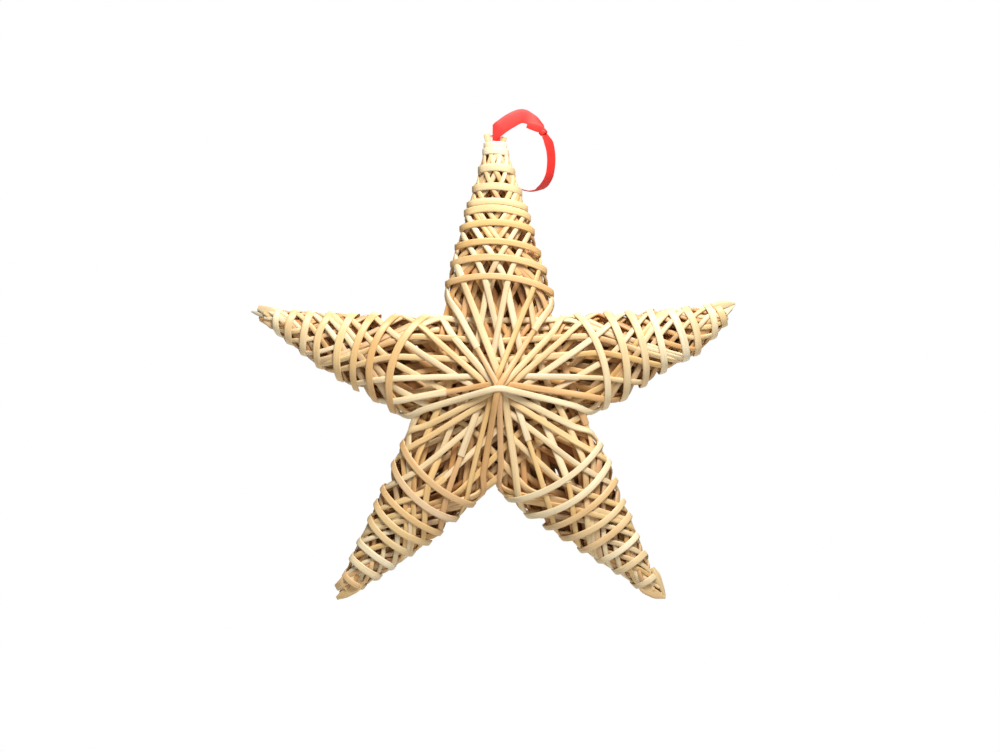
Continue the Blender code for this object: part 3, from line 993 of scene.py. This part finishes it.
def strip(name, p, across, facing, width, thick, look, seed, cup=0.0,
          across_count=9):
    """A thin ribbon along p with rounded selvedges."""
    m = len(p)
    u = np.linspace(-1, 1, across_count)
    verts, fibre = [], []
    along = np.concatenate(
        [[0], np.cumsum(np.linalg.norm(np.diff(p, axis=0), axis=1))])
    top = u
    for i in range(m):
        for layer in (1, -1):
            order = top if layer == 1 else top[::-1]
            bulge = 0.5 * thick * layer * np.sqrt(
                np.clip(1 - np.abs(order) ** 6, 0.05, 1))
            edge = 0.00012 * np.exp(-((np.abs(order) - 0.93) / 0.05) ** 2)
            lift = bulge + layer * edge + cup * width[i] * (order ** 2 - 0.5)
            verts.append(p[i] + across[i] * (0.5 * width[i] * order)[:, None]
                         + facing[i] * lift[:, None])
            fibre.append(np.column_stack([np.full(across_count, along[i] * 1000),
                                          order * 3.8,
                                          np.full(across_count, seed + layer)]))
    ring = 2 * across_count
    faces = []
    for i in range(m - 1):
        a = i * ring
        for j in range(ring):
            k = (j + 1) % ring
            faces.append((a + j, a + ring + j, a + ring + k, a + k))
    faces.append(tuple(range(ring)))
    last = (m - 1) * ring
    faces.append(tuple(last + j for j in reversed(range(ring))))
    mesh = bpy.data.meshes.new(name)
    mesh.from_pydata(np.vstack(verts).tolist(), [], faces)
    attr = mesh.attributes.new("fibre", "FLOAT_VECTOR", "POINT")
    attr.data.foreach_set("vector",
                          np.vstack(fibre).astype(np.float32).ravel())
    mesh.shade_smooth()
    mesh.set_sharp_from_angle(angle=math.radians(50))
    mesh.materials.append(look)
    made = bpy.data.objects.new(name, mesh)
    bpy.context.scene.collection.objects.link(made)
    return made


def make_ribbon():
    look = satin_material("red_satin")
    p, (turn, wide), length = smooth_route(LOOP, (LOOP_TURN, LOOP_WIDE), 120)
    tangent = np.gradient(p, axis=0)
    tangent /= np.linalg.norm(tangent, axis=1)[:, None]
    flat = np.cross(tangent, FRONT)
    flat /= np.linalg.norm(flat, axis=1)[:, None]
    out = np.cross(flat, tangent)
    across = flat * np.cos(turn)[:, None] + out * np.sin(turn)[:, None]
    # at the fold the ribbon is creased along an upright line
    width = RIBBON_W * wide
    crease = np.clip(1 - np.arange(len(p)) / 7.0, 0, 1)
    upright = np.array([0.0, 0.0, 1.0])
    if across[0] @ upright < 0:
        upright = -upright
    share = crease[:, None]
    across = across * (1 - share) + upright * share / math.cos(
        math.atan2(tangent[0][2], tangent[0][0])) * 1.04
    width = width * np.linalg.norm(across, axis=1)
    across /= np.linalg.norm(across, axis=1)[:, None]
    facing = np.cross(tangent, across)
    facing /= np.linalg.norm(facing, axis=1)[:, None]
    ribbon = strip("ribbon", p, across, facing, width, 0.35 * MM,
                   look, 1.0, cup=0.02)

    # the knot: one tight wrap of the ribbon across the two runs, and the tail
    knot_at = np.array([30.6, 0.0, 5.8]) * MM
    lean = math.radians(40)
    wrap_dir = np.array([math.cos(lean), 0, math.sin(lean)])
    wrap_up = np.array([-math.sin(lean), 0, math.cos(lean)])
    angle = np.linspace(0, 2 * math.pi * 0.97, 40)
    ring = (knot_at + wrap_dir * (2.1 * MM * np.cos(angle))[:, None]
            + FRONT * (1.5 * MM * np.sin(angle))[:, None]
            + wrap_up * (0.6 * MM * np.sin(angle * 0.5 + 0.4))[:, None])
    t = np.gradient(ring, axis=0)
    t /= np.linalg.norm(t, axis=1)[:, None]
    a = np.tile(wrap_up, (40, 1))
    a -= t * (a * t).sum(1)[:, None]
    a /= np.linalg.norm(a, axis=1)[:, None]
    wrap = strip("ribbon_knot_wrap", ring, a, np.cross(t, a),
                 np.full(40, 3.0 * MM), 0.8 * MM, look, 5.0, cup=0.05)

    def piece(name, route, widths, seed):
        q, _, _ = smooth_route(np.array(route) * MM, (np.zeros(len(route)),), 18)
        t = np.gradient(q, axis=0)
        t /= np.linalg.norm(t, axis=1)[:, None]
        a = np.cross(t, FRONT)
        a /= np.linalg.norm(a, axis=1)[:, None]
        w = np.interp(np.linspace(0, 1, 18), np.linspace(0, 1, len(widths)),
                      widths) * MM
        return strip(name, q, a, np.cross(t, a), w, 0.35 * MM, look, seed,
                     cup=0.03)

    tail = piece("ribbon_tail", ((30.9, -1.3, 5.9), (28.6, -1.8, 8.1),
                                 (24.6, -1.9, 9.4), (20.5, -1.7, 10.7)),
                 (3.0, 5.4, 4.9, 4.2), 9.0)
    foot = piece("ribbon_foot", ((1.3, -2.5, 5.6), (1.6, -2.4, 2.6),
                                 (1.2, -2.2, -0.6), (1.4, -1.2, -3.6)),
                 (3.4, 5.2, 4.5, 4.0), 13.0)
    for obj in (ribbon, wrap, tail, foot):
        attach(obj, "root")
    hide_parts("ribbon_rise", "ribbon_fall")
    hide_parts("ribbon_knot")
    print("ribbon length %.1f mm" % (length * 1000))


# ---------------------------------------------------------------------- build
make_camera()
make_stage()
make_ribbon()
winding_rows()
STRAWS = make_straws()
settle(STRAWS)
look = straw_material("wheat_straw")
look_wound = straw_material("wheat_straw_wound", 0.9)
for line, (ia, ic) in enumerate(LINES):
    for facing, face in ((1, "front"), (-1, "back")):
        builder = Builder()
        for number, straw in enumerate(STRAWS):
            if straw.line == line and straw.facing == facing:
                straw_tubes(builder, straw, number)
        pair = "%s_to_%s_%s" % (ARM[ia].name, ARM[ic].name, face)
        if facing > 0 and 0 in (ia, ic):
            # a straw's end stands out beside the ribbon
            side = 1 if ia == 0 else -1
            route = (np.array([(4.4, -0.4, -6.5), (5.3, -0.7, -1.0), (6.3, -0.7, 3.0)])
                     if side > 0 else
                     np.array([(-2.6, -0.4, -6.5), (-3.6, -0.8, -1.0), (-4.5, -0.9, 4.8)]))
            q, _, _ = smooth_route(route * MM, (np.zeros(3),), 7)
            flare = np.linspace(2.6, 4.0 if side < 0 else 3.5, 7) * MM
            builder.tube(q, np.tile(FRONT, (7, 1)), flare, np.full(7, 1.3 * MM),
                         np.tile(YELLOW if side > 0 else PALE, (7, 1)), 300 + side)
        if facing > 0 and ic in LEAVES:
            for leaf, (route, widths, tint) in enumerate(LEAVES[ic]):
                route = np.array(route)
                at = np.column_stack([1.2 + (route[:, 0] - 496) * 0.6186,
                                      -route[:, 2],
                                      -150.9 + (385 - route[:, 1]) * 0.6186])
                q, (w,), _ = smooth_route(at * MM, (np.array(widths),), 12)
                for turned in (1, -1):
                    builder.tube(q * np.array([1, turned, 1]),
                                 np.tile(FRONT * turned, (12, 1)), w * PIXEL,
                                 np.full(12, 1.25 * MM),
                                 np.tile(tint, (12, 1)), 320 + 4 * ic + leaf,
                                 power=0.7, hollow=(False, False))
            # painted shade: a dark tube inside the point, between the flattened ends
            s = np.linspace(16, 3.5, 8)
            q, _ = ARM[ic].place(s, np.full(8, math.pi / 2))
            q[:, 1] = 0
            builder.tube(q, np.tile(FRONT, (8, 1)),
                         (1.1 * ARM[ic].half_width(s) + 0.4) * MM,
                         ARM[ic].half_depth(s) * 0.9 * MM,
                         np.tile(TAN * np.array([0.42, 0.34, 0.28]), (8, 1)),
                         350 + ic, hollow=(False, False))
        fan = builder.make("straws_" + pair, look)
        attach(fan, "root")
        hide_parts(*["straw_%s_%d" % (pair, k + 1) for k in range(5)])
for arm in ARM:
    make_winding(arm, STRAWS, look_wound, arm.index)
